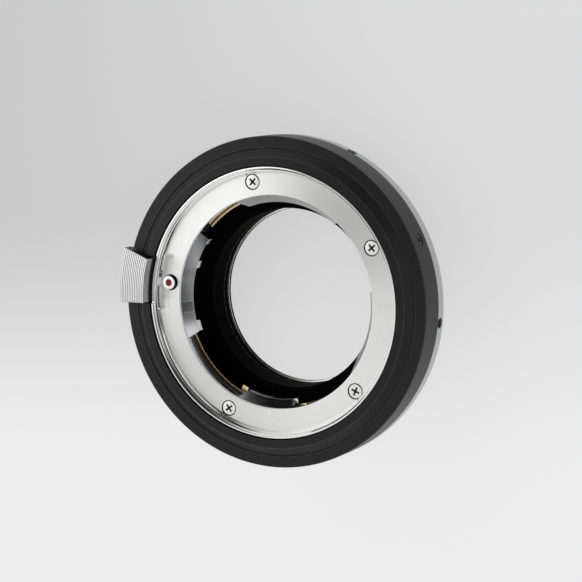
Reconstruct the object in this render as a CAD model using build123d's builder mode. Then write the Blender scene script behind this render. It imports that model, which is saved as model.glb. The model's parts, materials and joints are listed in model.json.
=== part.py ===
"""Lens mount adapter: a short black ring with a four-lug lens bayonet in front and a three-lug camera bayonet
behind, and a spring-loaded lock pin worked by a ridged lever at its side.

The optical axis is +Z, towards the lens. The origin is on that axis, in the plane of the camera-side flange.
The lock pin and its lever lie on -X.
"""

import math
import os

from build123d import *

os.makedirs("parts", exist_ok=True)

# Heights above the camera flange face
lens_flange_height = 8.55
body_rise = 0.85
slope_rise = 1.2
camera_ring_thick = 2.9
barrel_rear_step = 0.1

# Rings, from the throat outwards: widths, walls and the clearances between them
throat_radius = 22.0
face_width = 4.5
rim_width = 1.4
plate_clearance = 0.2
collar_width = 1.75
slope_width = 1.75
ring_clearance = 0.1
body_wall = 2.35
camera_ring_inset = 0.1
ring_chamfer = 0.15

face_radius = throat_radius + face_width
plate_radius = face_radius + rim_width
pocket_radius = plate_radius + plate_clearance
slope_inner_radius = pocket_radius + collar_width
barrel_radius = slope_inner_radius + slope_width
body_bore_radius = barrel_radius + ring_clearance
body_radius = body_bore_radius + body_wall
camera_ring_radius = body_radius - camera_ring_inset
body_top = lens_flange_height + body_rise
collar_top = body_top + slope_rise

# Lens bayonet plate
plate_thick = 2.8
rim_height = 1.8
rim_land = 0.35
rim_groove_inset = 0.55
rim_groove_depth = 0.15
lug_reach = 1.6
lug_depth = 3.05
lug_lip = 0.15
lug_root_depth = 0.5
throat_chamfer = 0.12
gap_relief = 0.25
bore_step = 0.2
barrel_clearance = 0.1
tab_height = 1.5
tab_thick = 1.0
lugs = [
    (58, 60, 116.8, 120.8),
    (148.5, 151.3, 208.4, 210),
    (253.6, 256.4, 285, 286.9),
    (326.5, 336, 375, 375),
]
tabs = [(98, 101), (151.3, 155), (166.2, 170.8), (201.9, 208), (256.4, 270), (284.5, 288), (359, 362)]
relief_half_angle = 12.5
relief_width = 1.7
relief_depth = 0.1
notch_half_angle = 10.0
notch_depth = 0.45
notch_width = 0.55

plate_bottom = lens_flange_height - plate_thick
rim_top = lens_flange_height + rim_height
rim_groove_radius = face_radius + rim_groove_inset
rim_groove_height = lens_flange_height + rim_height / 2
lug_tip_radius = throat_radius - lug_reach
barrel_bore_radius = throat_radius + bore_step
lug_bottom = lens_flange_height - lug_depth

# Screws of the lens plate and of the camera plate
screw_inset = 3.0
lens_screw_angles = [36, 108, 252, 324]
camera_screw_angles = [50, 135, 225, 310]
screw_head_radius = 1.5
screw_shank_radius = 0.8
screw_shank_length = 4.0
camera_screw_length = 2.6
screw_sink = 0.1
head_angle = 90
head_clearance = 0.18
shank_clearance = 0.08
thread_clearance = 0.02
drill_overrun = 0.25
cross_length = 1.7
cross_width = 0.36
cross_depth = 0.55
cross_taper = 12
screw_circle = throat_radius + screw_inset

# Screws in the side wall and in the edge of the camera ring
side_screw_angles = [31, 151, 271]
side_screw_rise = 2.75
side_head_radius = 1.2
side_head_thick = 1.0
side_shank_radius = 0.75
side_screw_length = 4.3
side_cross_scale = 0.8
edge_screw_angles = [1.7, 71.8, 216.8]
edge_screw_drop = 1.25
edge_screw_radius = 1.0
edge_screw_length = 2.9
edge_screw_sink = 0.45
slot_width = 0.3
slot_depth = 0.4
side_screw_height = camera_ring_thick + side_screw_rise
edge_screw_height = camera_ring_thick - edge_screw_drop

# Leaf springs behind the lugs
leaf_inset = 0.3
leaf_seat = 0.5
leaf_thick = 0.3
leaf_drop = 0.9
leaf_clearance = 0.03
leaf_spans = [(101.4, 145), (171.2, 201.5), (208.4, 257.6), (261, 302), (309.5, 358.5)]
leaf_tongue_span = (250.5, 254.5)
leaf_tongue_reach = 1.4
leaf_inner_radius = throat_radius - leaf_inset
leaf_outer_radius = throat_radius + leaf_seat
leaf_groove_radius = leaf_outer_radius + leaf_clearance
leaf_height = lug_bottom - leaf_drop

# Camera bayonet
opening_radius = 18.35
tube_lip_depth = 0.35
tube_wall = 0.45
tube_length = 7.4
tube_lip_length = 0.8
bore_lead_width = 0.3
bore_lead_depth = 0.4
camera_plate_border = 3.45
camera_plate_thick = 1.5
flange_relief_width = 1.6
flange_relief_depth = 0.3
camera_lug_reach = 1.4
camera_lug_thick = 1.6
camera_lug_gap = 3.6
camera_lug_span = 52
camera_lug_angles = [20, 140, 260]
lock_hole_radius = 1.35
lock_hole_inset = 0.6
lock_hole_angle = 95
tube_inner_radius = opening_radius + tube_lip_depth
tube_radius = tube_inner_radius + tube_wall
tube_end = -tube_length
lug_rear = -camera_lug_gap - camera_lug_thick
flange_relief_radius = tube_radius + flange_relief_width
camera_lug_radius = tube_radius + camera_lug_reach
camera_plate_radius = barrel_radius - camera_plate_border
lock_hole_circle = screw_circle - lock_hole_inset

# Light baffle
baffle_gap = 0.2
baffle_wall = 0.5
baffle_clearance = 0.05
spigot_wall = 0.6
spigot_depth = 0.7
baffle_top = lug_bottom - tab_height - baffle_gap
baffle_foot_radius = tube_inner_radius + bore_lead_width
spigot_radius = baffle_foot_radius + spigot_wall
spigot_seat = camera_plate_thick - spigot_depth

# Release lever, arm and lock pin
lever_half_angle = 9.45
slot_clearance = 0.3
lever_travel = 1.0
floor_clearance = 0.3
lever_gap = 0.3
lever_overhang = 1.5
lever_waist_inset = 0.05
lever_rise = 2.2
lever_fall = 2.2
lever_lip_height = 2.4
lever_undercut = 1.3
lever_corner = 0.35
ridge_count = 13
ridge_depth = 0.2
ridge_crest_share = 0.6
ridge_foot_share = 0.8
arm_thick = 1.0
arm_clearance = 0.1
arm_width = 4.0
arm_slot_clearance = 0.25
arm_inner_step = 0.2
arm_outer_step = 0.3
arm_end_radius = 1.45
pin_inset = 2.35
pin_radius = 1.42
pin_proud = 0.75
pin_chamfer = 0.12
pin_clearance = 0.22
pin_tail_radius = 0.9
dot_radius = 0.74
dot_thick = 0.3
dot_sink = 0.04

pin_circle = throat_radius + pin_inset
lever_inner_radius = pocket_radius + lever_gap
lever_outer_radius = body_radius + lever_overhang
lever_waist_radius = body_radius - lever_waist_inset
lever_inner_top = collar_top + lever_rise
lever_outer_top = lever_inner_top - lever_fall
lever_slot_half_angle = lever_half_angle + math.degrees(slot_clearance / body_radius)
arm_head_inner = lever_inner_radius + arm_inner_step
arm_head_outer = lever_waist_radius - arm_outer_step
arm_top = plate_bottom - arm_clearance
arm_bottom = arm_top - arm_thick
slot_floor = arm_bottom - lever_travel - floor_clearance

# Lever screws and return springs
lever_screw_insets = [2.0, 4.3]
lever_screw_head_radius = 0.95
lever_screw_shank_radius = 0.55
lever_screw_length = 3.6
lever_screw_rim = 0.025
lever_cross_scale = 0.5
spring_inset = 1.9
spring_offset = 2.75
spring_radius = 0.8
spring_wire_radius = 0.16
spring_turns = 6
spring_seat_depth = 1.0
spring_pocket_depth = 3.3
spring_pocket_clearance = 0.15
lever_screw_radii = [lever_inner_radius + inset for inset in lever_screw_insets]
spring_circle = lever_inner_radius + spring_inset
spring_pocket_radius = spring_radius + spring_wire_radius + spring_pocket_clearance
spring_pocket_top = arm_top + spring_pocket_depth

# How far a cutting shape runs past the piece that it cuts
overrun = 1.0


def radial_plane(angle):
    """The plane through the axis at an angle: its X runs outwards and its Y runs up."""
    turn = math.radians(angle)
    return Plane(
        origin=(0, 0, 0),
        x_dir=(math.cos(turn), math.sin(turn), 0),
        z_dir=(math.sin(turn), -math.cos(turn), 0),
    )


def spot_plane(radius, angle, height, up=1):
    """A level plane at a point of the ring, its X along the radius, facing up or down."""
    turn = math.radians(angle)
    return Plane(
        origin=(radius * math.cos(turn), radius * math.sin(turn), height),
        x_dir=(math.cos(turn), math.sin(turn), 0),
        z_dir=(0, 0, up),
    )


def wall_plane(radius, angle, height):
    """An upright plane on the side wall that faces outwards."""
    turn = math.radians(angle)
    return Plane(
        origin=(radius * math.cos(turn), radius * math.sin(turn), height),
        x_dir=(-math.sin(turn), math.cos(turn), 0),
        z_dir=(math.cos(turn), math.sin(turn), 0),
    )


def polar(radius, angle):
    turn = math.radians(angle)
    return (radius * math.cos(turn), radius * math.sin(turn))


def keep(name, builder):
    """Labels a finished piece and writes it to its file."""
    builder.part.label = name
    export_step(builder.part, f"parts/{name}.step")


def make_sector(profile, start, span):
    """A solid swept round the axis from a start angle, its profile given as radius and height."""
    with BuildPart() as sector:
        with BuildSketch(radial_plane(start)):
            with BuildLine():
                Polyline(*profile, close=True)
            make_face()
        revolve(axis=Axis.Z, revolution_arc=span)
    return sector.part


def make_box_sector(inner, outer, bottom, top, start, span):
    """A sector with a rectangular section."""
    return make_sector([(inner, bottom), (outer, bottom), (outer, top), (inner, top)], start, span)


def make_cross(plane, scale=1):
    """The tool for a cross recess, sunk from a plane and tapered to its floor."""
    with BuildPart() as cross:
        with BuildSketch(plane):
            Rectangle(cross_length * scale, cross_width * scale)
            Rectangle(cross_width * scale, cross_length * scale)
        extrude(amount=-cross_depth * scale, taper=cross_taper)
    return cross.part


# The cut that the release lever stands in, open to the side and to the front
lever_cut = make_box_sector(
    pocket_radius - overrun,
    body_radius + overrun,
    slot_floor,
    collar_top + overrun,
    180 - lever_slot_half_angle,
    2 * lever_slot_half_angle,
)

# Black outer ring
with BuildPart() as body_ring:
    with BuildSketch(Plane.XZ):
        with BuildLine():
            Polyline(
                (body_bore_radius, camera_ring_thick),
                (body_radius, camera_ring_thick),
                (body_radius, body_top - ring_chamfer),
                (body_radius - ring_chamfer, body_top),
                (body_bore_radius, body_top),
                close=True,
            )
        make_face()
    revolve(axis=Axis.Z)
    add(lever_cut, mode=Mode.SUBTRACT)
    for angle in side_screw_angles:
        with BuildSketch(wall_plane(body_radius + overrun, angle, side_screw_height)):
            Circle(side_head_radius + shank_clearance)
        extrude(amount=-(overrun + side_head_thick + screw_sink), mode=Mode.SUBTRACT)
        with BuildSketch(wall_plane(body_radius + overrun, angle, side_screw_height)):
            Circle(side_shank_radius + shank_clearance)
        extrude(amount=-(body_radius + 2 * overrun - body_bore_radius), mode=Mode.SUBTRACT)
keep("body_ring", body_ring)

# Black barrel inside it: collar and slope in front, pocket for the lens plate, shelf, and bore
side_hole_end = body_radius - screw_sink - side_screw_length
edge_hole_end = camera_ring_radius - edge_screw_sink - edge_screw_length
with BuildPart() as inner_barrel:
    with BuildSketch(Plane.XZ):
        with BuildLine():
            Polyline(
                (barrel_bore_radius, camera_plate_thick),
                (camera_plate_radius + ring_clearance, camera_plate_thick),
                (camera_plate_radius + ring_clearance, barrel_rear_step),
                (barrel_radius - ring_chamfer, barrel_rear_step),
                (barrel_radius, barrel_rear_step + ring_chamfer),
                (barrel_radius, body_top - ring_chamfer),
                (barrel_radius - ring_chamfer, body_top),
                (slope_inner_radius + ring_chamfer, collar_top - ring_chamfer),
                (slope_inner_radius, collar_top),
                (pocket_radius, collar_top),
                (pocket_radius, plate_bottom),
                (barrel_bore_radius, plate_bottom),
                close=True,
            )
        make_face()
    revolve(axis=Axis.Z)
    # Groove round the bore that holds the leaf springs
    with BuildSketch(radial_plane(0)):
        with BuildLine():
            Polyline(
                (leaf_inner_radius - overrun, leaf_height - leaf_clearance),
                (leaf_groove_radius, leaf_height - leaf_clearance),
                (leaf_groove_radius, leaf_height + leaf_thick + leaf_clearance),
                (leaf_inner_radius - overrun, leaf_height + leaf_thick + leaf_clearance),
                close=True,
            )
        make_face()
    revolve(axis=Axis.Z, mode=Mode.SUBTRACT)
    add(lever_cut, mode=Mode.SUBTRACT)
    # Channel under the lens plate for the arm of the lock pin
    with BuildSketch(Plane.XY.offset(slot_floor)):
        with Locations((-pin_circle, 0)):
            Circle(arm_end_radius + arm_slot_clearance / 2)
        with Locations((-(pin_circle + pocket_radius + overrun) / 2, 0)):
            Rectangle(pocket_radius + overrun - pin_circle, arm_width + 2 * arm_slot_clearance)
    extrude(amount=plate_bottom - slot_floor + overrun, mode=Mode.SUBTRACT)
    # Seats of the two return springs in the floor of the cut
    with BuildSketch(Plane.XY.offset(slot_floor)):
        with Locations((-spring_circle, spring_offset), (-spring_circle, -spring_offset)):
            Circle(spring_pocket_radius)
    extrude(amount=-spring_seat_depth, mode=Mode.SUBTRACT)
    # Tapped holes of the lens plate's screws, the camera plate's screws and the side screws
    lens_hole_end = lens_flange_height - screw_sink - screw_shank_length
    with BuildSketch(Plane.XY.offset(plate_bottom)):
        for angle in lens_screw_angles:
            with Locations(polar(screw_circle, angle)):
                Circle(screw_shank_radius + thread_clearance)
    extrude(amount=lens_hole_end - drill_overrun - plate_bottom, mode=Mode.SUBTRACT)
    with BuildSketch(Plane.XY.offset(camera_plate_thick)):
        for angle in camera_screw_angles:
            with Locations(polar(screw_circle, angle)):
                Circle(screw_shank_radius + thread_clearance)
    extrude(amount=screw_sink + camera_screw_length + drill_overrun - camera_plate_thick, mode=Mode.SUBTRACT)
    for angle in side_screw_angles:
        with BuildSketch(wall_plane(barrel_radius + overrun, angle, side_screw_height)):
            Circle(side_shank_radius + thread_clearance)
        extrude(amount=side_hole_end - barrel_radius - overrun - drill_overrun, mode=Mode.SUBTRACT)
    for angle in edge_screw_angles:
        with BuildSketch(wall_plane(barrel_radius + overrun, angle, edge_screw_height)):
            Circle(edge_screw_radius + thread_clearance)
        extrude(amount=edge_hole_end - barrel_radius - overrun, mode=Mode.SUBTRACT)
keep("inner_barrel", inner_barrel)

# Silver ring behind the body
with BuildPart() as camera_ring:
    with BuildSketch(Plane.XZ):
        with BuildLine():
            Polyline(
                (body_bore_radius, ring_chamfer),
                (body_bore_radius + ring_chamfer, 0),
                (camera_ring_radius - ring_chamfer, 0),
                (camera_ring_radius, ring_chamfer),
                (camera_ring_radius, camera_ring_thick),
                (body_bore_radius, camera_ring_thick),
                close=True,
            )
        make_face()
    revolve(axis=Axis.Z)
    for angle in edge_screw_angles:
        with BuildSketch(wall_plane(body_radius + overrun, angle, edge_screw_height)):
            Circle(edge_screw_radius + shank_clearance)
        extrude(amount=-(body_radius + 2 * overrun - body_bore_radius), mode=Mode.SUBTRACT)
keep("camera_ring", camera_ring)

# Silver camera bayonet: plate, tube and three lugs
with BuildPart() as camera_bayonet:
    with BuildSketch(Plane.XZ):
        with BuildLine():
            Polyline(
                (spigot_radius + baffle_clearance, camera_plate_thick),
                (spigot_radius + baffle_clearance, spigot_seat),
                (baffle_foot_radius, spigot_seat),
                (tube_inner_radius, spigot_seat - bore_lead_depth),
                (tube_inner_radius, tube_end + tube_lip_length),
                (opening_radius, tube_end + tube_lip_length),
                (opening_radius, tube_end),
                (tube_radius - ring_chamfer, tube_end),
                (tube_radius, tube_end + ring_chamfer),
                (tube_radius, flange_relief_depth),
                (flange_relief_radius, flange_relief_depth),
                (flange_relief_radius, 0),
                (camera_plate_radius - ring_chamfer, 0),
                (camera_plate_radius, ring_chamfer),
                (camera_plate_radius, camera_plate_thick),
                close=True,
            )
        make_face()
    revolve(axis=Axis.Z)
    for angle in camera_lug_angles:
        add(
            make_sector(
                [
                    (tube_radius - ring_chamfer, lug_rear),
                    (camera_lug_radius - ring_chamfer, lug_rear),
                    (camera_lug_radius, lug_rear + ring_chamfer),
                    (camera_lug_radius, lug_rear + camera_lug_thick),
                    (tube_radius - ring_chamfer, lug_rear + camera_lug_thick),
                ],
                angle,
                camera_lug_span,
            )
        )
    for angle in camera_screw_angles:
        with Locations(spot_plane(screw_circle, angle, 0, up=-1)):
            CounterSinkHole(
                screw_shank_radius + shank_clearance,
                screw_head_radius + head_clearance,
                depth=camera_plate_thick + overrun,
                counter_sink_angle=head_angle,
            )
    with BuildSketch(Plane.XY.offset(-overrun)):
        with Locations(polar(lock_hole_circle, lock_hole_angle)):
            Circle(lock_hole_radius)
    extrude(amount=camera_plate_thick + 2 * overrun, mode=Mode.SUBTRACT)
keep("camera_bayonet", camera_bayonet)

# Black light baffle: a funnel whose spigot sits in the mouth of the camera bayonet
with BuildPart() as baffle_tube:
    with BuildSketch(Plane.XZ):
        with BuildLine():
            Polyline(
                (barrel_bore_radius - baffle_clearance, camera_plate_thick),
                (barrel_bore_radius - baffle_clearance, baffle_top),
                (barrel_bore_radius - baffle_clearance - baffle_wall, baffle_top),
                (baffle_foot_radius, camera_plate_thick),
                (baffle_foot_radius, spigot_seat),
                (spigot_radius, spigot_seat),
                (spigot_radius, camera_plate_thick),
                close=True,
            )
        make_face()
    revolve(axis=Axis.Z)
keep("baffle_tube", baffle_tube)

# Silver lens bayonet: plate with a raised rim, four lugs round its throat and small tabs behind them
with BuildPart() as lens_bayonet:
    with BuildSketch(Plane.XZ):
        with BuildLine():
            Polyline(
                (plate_radius, plate_bottom),
                (plate_radius, rim_top - ring_chamfer),
                (plate_radius - ring_chamfer, rim_top),
                (plate_radius - rim_land, rim_top),
                (rim_groove_radius + rim_groove_depth, rim_groove_height + rim_groove_depth),
                (rim_groove_radius, rim_groove_height - rim_groove_depth),
                (rim_groove_radius - rim_groove_depth, rim_groove_height),
                (face_radius, lens_flange_height),
                (throat_radius + throat_chamfer, lens_flange_height),
                (throat_radius, lens_flange_height - throat_chamfer),
                (throat_radius, lens_flange_height - lug_root_depth),
                (lug_tip_radius, lug_bottom + lug_lip),
                (lug_tip_radius, lug_bottom),
                (barrel_bore_radius - barrel_clearance, lug_bottom),
                (barrel_bore_radius - barrel_clearance, plate_bottom),
                close=True,
            )
        make_face()
    revolve(axis=Axis.Z)
    # The four gaps that the lens's own lugs pass through, relieved behind the throat
    with BuildSketch(Plane.XY.offset(lug_bottom - overrun)):
        for lug, following in zip(lugs, lugs[1:] + lugs[:1]):
            gap_start = lug[3] % 360
            gap_end = following[0] if following[0] > gap_start else following[0] + 360
            tip_start = lug[2] - lug[3] + gap_start
            tip_end = following[1] - following[0] + gap_end
            middle = (gap_start + gap_end) / 2
            with BuildLine():
                Polyline(
                    polar(lug_tip_radius - overrun, tip_start),
                    polar(lug_tip_radius, tip_start),
                    polar(throat_radius, gap_start),
                    polar(throat_radius + 2 * overrun, gap_start),
                    polar(throat_radius + 6 * overrun, middle),
                    polar(throat_radius + 2 * overrun, gap_end),
                    polar(throat_radius, gap_end),
                    polar(lug_tip_radius, tip_end),
                    polar(lug_tip_radius - overrun, tip_end),
                    polar(lug_tip_radius - 2 * overrun, middle),
                    close=True,
                )
            make_face()
        Circle(throat_radius + gap_relief, mode=Mode.INTERSECT)
    extrude(amount=lens_flange_height - lug_root_depth - lug_bottom + overrun, mode=Mode.SUBTRACT)
    for start, end in tabs:
        add(
            make_box_sector(
                lug_tip_radius,
                lug_tip_radius + tab_thick,
                lug_bottom - tab_height,
                lug_bottom + lug_lip,
                start,
                end - start,
            )
        )
    # Shallow relief in the face and notch in the rim, both beside the lever
    add(
        make_box_sector(
            face_radius - relief_width,
            face_radius,
            lens_flange_height - relief_depth,
            lens_flange_height + overrun,
            180 - relief_half_angle,
            2 * relief_half_angle,
        ),
        mode=Mode.SUBTRACT,
    )
    add(
        make_box_sector(
            plate_radius - notch_width,
            plate_radius + overrun,
            rim_top - notch_depth,
            rim_top + overrun,
            180 - notch_half_angle,
            2 * notch_half_angle,
        ),
        mode=Mode.SUBTRACT,
    )
    for angle in lens_screw_angles:
        with Locations(spot_plane(screw_circle, angle, lens_flange_height)):
            CounterSinkHole(
                screw_shank_radius + shank_clearance,
                screw_head_radius + head_clearance,
                depth=plate_thick + overrun,
                counter_sink_angle=head_angle,
            )
    with BuildSketch(Plane.XY.offset(plate_bottom - overrun)):
        with Locations((-pin_circle, 0)):
            Circle(pin_radius + pin_clearance)
    extrude(amount=plate_thick + 2 * overrun, mode=Mode.SUBTRACT)
keep("lens_bayonet", lens_bayonet)


def make_countersunk_screw(plane, length, head_radius, shank_radius, rim, cross_scale=1):
    """A flat-head screw hung down from a plane, with a cross recess in its head."""
    cone = head_radius - shank_radius
    with BuildPart() as screw:
        with BuildSketch(plane):
            Circle(head_radius)
        extrude(amount=-rim)
        with BuildSketch(plane.offset(-rim)):
            Circle(head_radius)
        extrude(amount=-cone, taper=head_angle / 2)
        with BuildSketch(plane.offset(-rim)):
            Circle(shank_radius)
        extrude(amount=rim - length)
        add(make_cross(plane, cross_scale), mode=Mode.SUBTRACT)
    return screw


for number, angle in enumerate(lens_screw_angles, start=1):
    bayonet_screw = make_countersunk_screw(
        spot_plane(screw_circle, angle, lens_flange_height - screw_sink),
        screw_shank_length,
        screw_head_radius - screw_sink / 2,
        screw_shank_radius,
        screw_sink,
    )
    keep(f"bayonet_screw_{number}", bayonet_screw)

for number, angle in enumerate(camera_screw_angles, start=1):
    camera_screw = make_countersunk_screw(
        spot_plane(screw_circle, angle, screw_sink, up=-1),
        camera_screw_length,
        screw_head_radius - screw_sink / 2,
        screw_shank_radius,
        screw_sink,
    )
    keep(f"camera_screw_{number}", camera_screw)

# Screws through the side wall, with a flat cheese head
for number, angle in enumerate(side_screw_angles, start=1):
    side_plane = wall_plane(body_radius - screw_sink, angle, side_screw_height)
    with BuildPart() as side_screw:
        with BuildSketch(side_plane):
            Circle(side_head_radius)
        extrude(amount=-side_head_thick)
        with BuildSketch(side_plane):
            Circle(side_shank_radius)
        extrude(amount=-side_screw_length)
        add(make_cross(side_plane, side_cross_scale), mode=Mode.SUBTRACT)
    keep(f"side_screw_{number}", side_screw)

# Headless screws in the edge of the camera ring, with a slot
for number, angle in enumerate(edge_screw_angles, start=1):
    edge_plane = wall_plane(camera_ring_radius - edge_screw_sink, angle, edge_screw_height)
    with BuildPart() as edge_screw:
        with BuildSketch(edge_plane):
            Circle(edge_screw_radius)
        extrude(amount=-edge_screw_length)
        with BuildSketch(edge_plane):
            Rectangle(2 * edge_screw_radius + overrun, slot_width)
        extrude(amount=-slot_depth, mode=Mode.SUBTRACT)
    keep(f"edge_screw_{number}", edge_screw)

# Brass leaf springs in the groove of the barrel, one of them with a tongue towards the axis
tongue_start, tongue_end = leaf_tongue_span
for number, (start, end) in enumerate(leaf_spans, start=1):
    with BuildPart() as leaf_spring:
        add(
            make_box_sector(
                leaf_inner_radius,
                leaf_outer_radius,
                leaf_height,
                leaf_height + leaf_thick,
                start,
                end - start,
            )
        )
        if start < tongue_start < end:
            add(
                make_box_sector(
                    leaf_inner_radius - leaf_tongue_reach,
                    leaf_outer_radius,
                    leaf_height,
                    leaf_height + leaf_thick,
                    tongue_start,
                    tongue_end - tongue_start,
                )
            )
    keep(f"leaf_spring_{number}", leaf_spring)

# Release lever: a block in the cut of the body, with a ridged sloping pad on its top
ridge_run = (lever_outer_radius - lever_corner - lever_inner_radius) / ridge_count
ridge_fall = (lever_inner_top - lever_outer_top) / ridge_count
ridge_points = []
for ridge in range(ridge_count):
    for share, depth in ((0, 0), (ridge_crest_share, 0), (ridge_foot_share, ridge_depth)):
        radius = lever_inner_radius + (ridge + share) * ridge_run
        height = lever_inner_top - (ridge + share) * ridge_fall
        ridge_points.append((radius, height - depth))
lever_profile = ridge_points + [
    (lever_outer_radius - lever_corner, lever_outer_top),
    (lever_outer_radius, lever_outer_top - lever_corner),
    (lever_outer_radius, lever_outer_top - lever_lip_height),
    (lever_waist_radius, lever_outer_top - lever_lip_height - lever_undercut),
    (lever_waist_radius, arm_top),
    (lever_inner_radius, arm_top),
]
with BuildPart() as release_lever:
    add(make_sector(lever_profile, 180 - lever_half_angle, 2 * lever_half_angle))
    with BuildSketch(Plane.XY.offset(arm_top)):
        with Locations((-spring_circle, spring_offset), (-spring_circle, -spring_offset)):
            Circle(spring_pocket_radius)
    extrude(amount=spring_pocket_top - arm_top, mode=Mode.SUBTRACT)
    with BuildSketch(Plane.XY.offset(arm_top)):
        for radius in lever_screw_radii:
            with Locations((-radius, 0)):
                Circle(lever_screw_shank_radius + thread_clearance)
    extrude(amount=lever_screw_length, mode=Mode.SUBTRACT)
keep("release_lever", release_lever)

# Steel arm that carries the lever and the lock pin
with BuildPart() as lever_arm:
    add(
        make_box_sector(
            arm_head_inner,
            arm_head_outer,
            arm_bottom,
            arm_top,
            180 - lever_half_angle,
            2 * lever_half_angle,
        )
    )
    with BuildSketch(Plane.XY.offset(arm_bottom)):
        with Locations((-pin_circle, 0)):
            Circle(arm_end_radius)
        with Locations((-(pin_circle + arm_head_inner + overrun) / 2, 0)):
            Rectangle(arm_head_inner + overrun - pin_circle, 2 * arm_end_radius)
        with Locations((-arm_head_inner, 0)):
            Rectangle(2 * overrun, arm_width)
    extrude(amount=arm_thick)
    with BuildSketch(Plane.XY.offset(arm_bottom)):
        with Locations((-pin_circle, 0)):
            Circle(pin_tail_radius)
        with Locations((-spring_circle, spring_offset), (-spring_circle, -spring_offset)):
            Circle(spring_pocket_radius)
    extrude(amount=arm_thick, mode=Mode.SUBTRACT)
    for radius in lever_screw_radii:
        with Locations(spot_plane(radius, 180, arm_bottom, up=-1)):
            CounterSinkHole(
                lever_screw_shank_radius + thread_clearance,
                lever_screw_head_radius + thread_clearance,
                depth=arm_thick + overrun,
                counter_sink_angle=head_angle,
            )
keep("lever_arm", lever_arm)

for number, radius in enumerate(lever_screw_radii, start=1):
    lever_screw = make_countersunk_screw(
        spot_plane(radius, 180, arm_bottom + screw_sink, up=-1),
        lever_screw_length,
        lever_screw_head_radius - screw_sink,
        lever_screw_shank_radius,
        lever_screw_rim,
        lever_cross_scale,
    )
    keep(f"lever_screw_{number}", lever_screw)

# Lock pin with a coloured dot let into its end
pin_top = lens_flange_height + pin_proud
with BuildPart() as lock_pin:
    with BuildSketch(spot_plane(pin_circle, 180, arm_top)):
        Circle(pin_radius)
    extrude(amount=pin_top - arm_top)
    chamfer(lock_pin.faces().sort_by(Axis.Z)[-1].edges(), length=pin_chamfer)
    with BuildSketch(spot_plane(pin_circle, 180, arm_bottom)):
        Circle(pin_tail_radius)
    extrude(amount=arm_thick)
    with BuildSketch(spot_plane(pin_circle, 180, pin_top)):
        Circle(dot_radius)
    extrude(amount=-(dot_thick + dot_sink), mode=Mode.SUBTRACT)
keep("lock_pin", lock_pin)

with BuildPart() as index_dot:
    with BuildSketch(spot_plane(pin_circle, 180, pin_top - dot_sink)):
        Circle(dot_radius)
    extrude(amount=-dot_thick)
keep("index_dot", index_dot)

# Coil springs that push the lever back up
spring_bottom = slot_floor - spring_seat_depth + spring_wire_radius
spring_height = spring_pocket_top - spring_wire_radius - spring_bottom
for number, side in enumerate((1, -1), start=1):
    foot = Plane(origin=(-spring_circle, side * spring_offset, spring_bottom))
    with BuildPart() as return_spring:
        with BuildLine(foot):
            coil = Helix(pitch=spring_height / spring_turns, height=spring_height, radius=spring_radius)
        with BuildSketch(Plane(origin=coil @ 0, z_dir=coil % 0)):
            Circle(spring_wire_radius)
        sweep(path=coil, is_frenet=True)
    keep(f"return_spring_{number}", return_spring)
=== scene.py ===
import json
import math

import bmesh
import bpy
from mathutils import Matrix, Vector


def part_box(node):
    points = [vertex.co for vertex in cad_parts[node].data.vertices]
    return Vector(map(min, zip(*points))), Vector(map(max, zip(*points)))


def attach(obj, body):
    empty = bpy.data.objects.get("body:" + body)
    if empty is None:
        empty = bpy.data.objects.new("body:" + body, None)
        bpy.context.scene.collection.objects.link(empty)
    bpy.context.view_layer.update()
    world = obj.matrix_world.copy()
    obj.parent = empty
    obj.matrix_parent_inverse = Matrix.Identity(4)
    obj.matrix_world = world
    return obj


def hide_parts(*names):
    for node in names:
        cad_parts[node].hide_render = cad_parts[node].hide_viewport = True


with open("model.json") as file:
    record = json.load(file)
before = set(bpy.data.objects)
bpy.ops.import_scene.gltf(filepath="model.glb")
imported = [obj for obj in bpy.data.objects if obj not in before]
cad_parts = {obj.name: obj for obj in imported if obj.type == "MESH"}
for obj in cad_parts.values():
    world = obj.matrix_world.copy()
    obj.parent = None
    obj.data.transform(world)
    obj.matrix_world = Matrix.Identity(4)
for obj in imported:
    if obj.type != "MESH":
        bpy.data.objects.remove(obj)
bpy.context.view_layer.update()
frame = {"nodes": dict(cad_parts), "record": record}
mm = 0.001
print("frame loaded:", len(frame["nodes"]), "nodes")


# Measures read from the frame, in millimetres

def nodeBox(node):
    low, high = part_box(node)
    return [v / mm for v in low], [v / mm for v in high]


def mountValue(name, key):
    for mount in frame["record"]["mounts"]:
        if mount["name"] == name:
            return mount["dims"][key]


def aroundAxis(node):                          # distance from the axis, angle and height of a node's centre
    low, high = nodeBox(node)
    x, y, z = [(a + b) / 2 for a, b in zip(low, high)]
    return math.hypot(x, y), math.degrees(math.atan2(y, x)), z


plateBox = nodeBox("lens_bayonet")
bodyBox = nodeBox("body_ring")
barrelBox = nodeBox("inner_barrel")
rearRingBox = nodeBox("camera_ring")
rearPlateBox = nodeBox("camera_bayonet")
leverBox = nodeBox("release_lever")
armBox = nodeBox("lever_arm")
pinBox = nodeBox("lock_pin")
sideScrews = [aroundAxis(f"side_screw_{k}") for k in (1, 2, 3)]
edgeScrews = [aroundAxis(f"edge_screw_{k}") for k in (1, 2, 3)]

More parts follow.
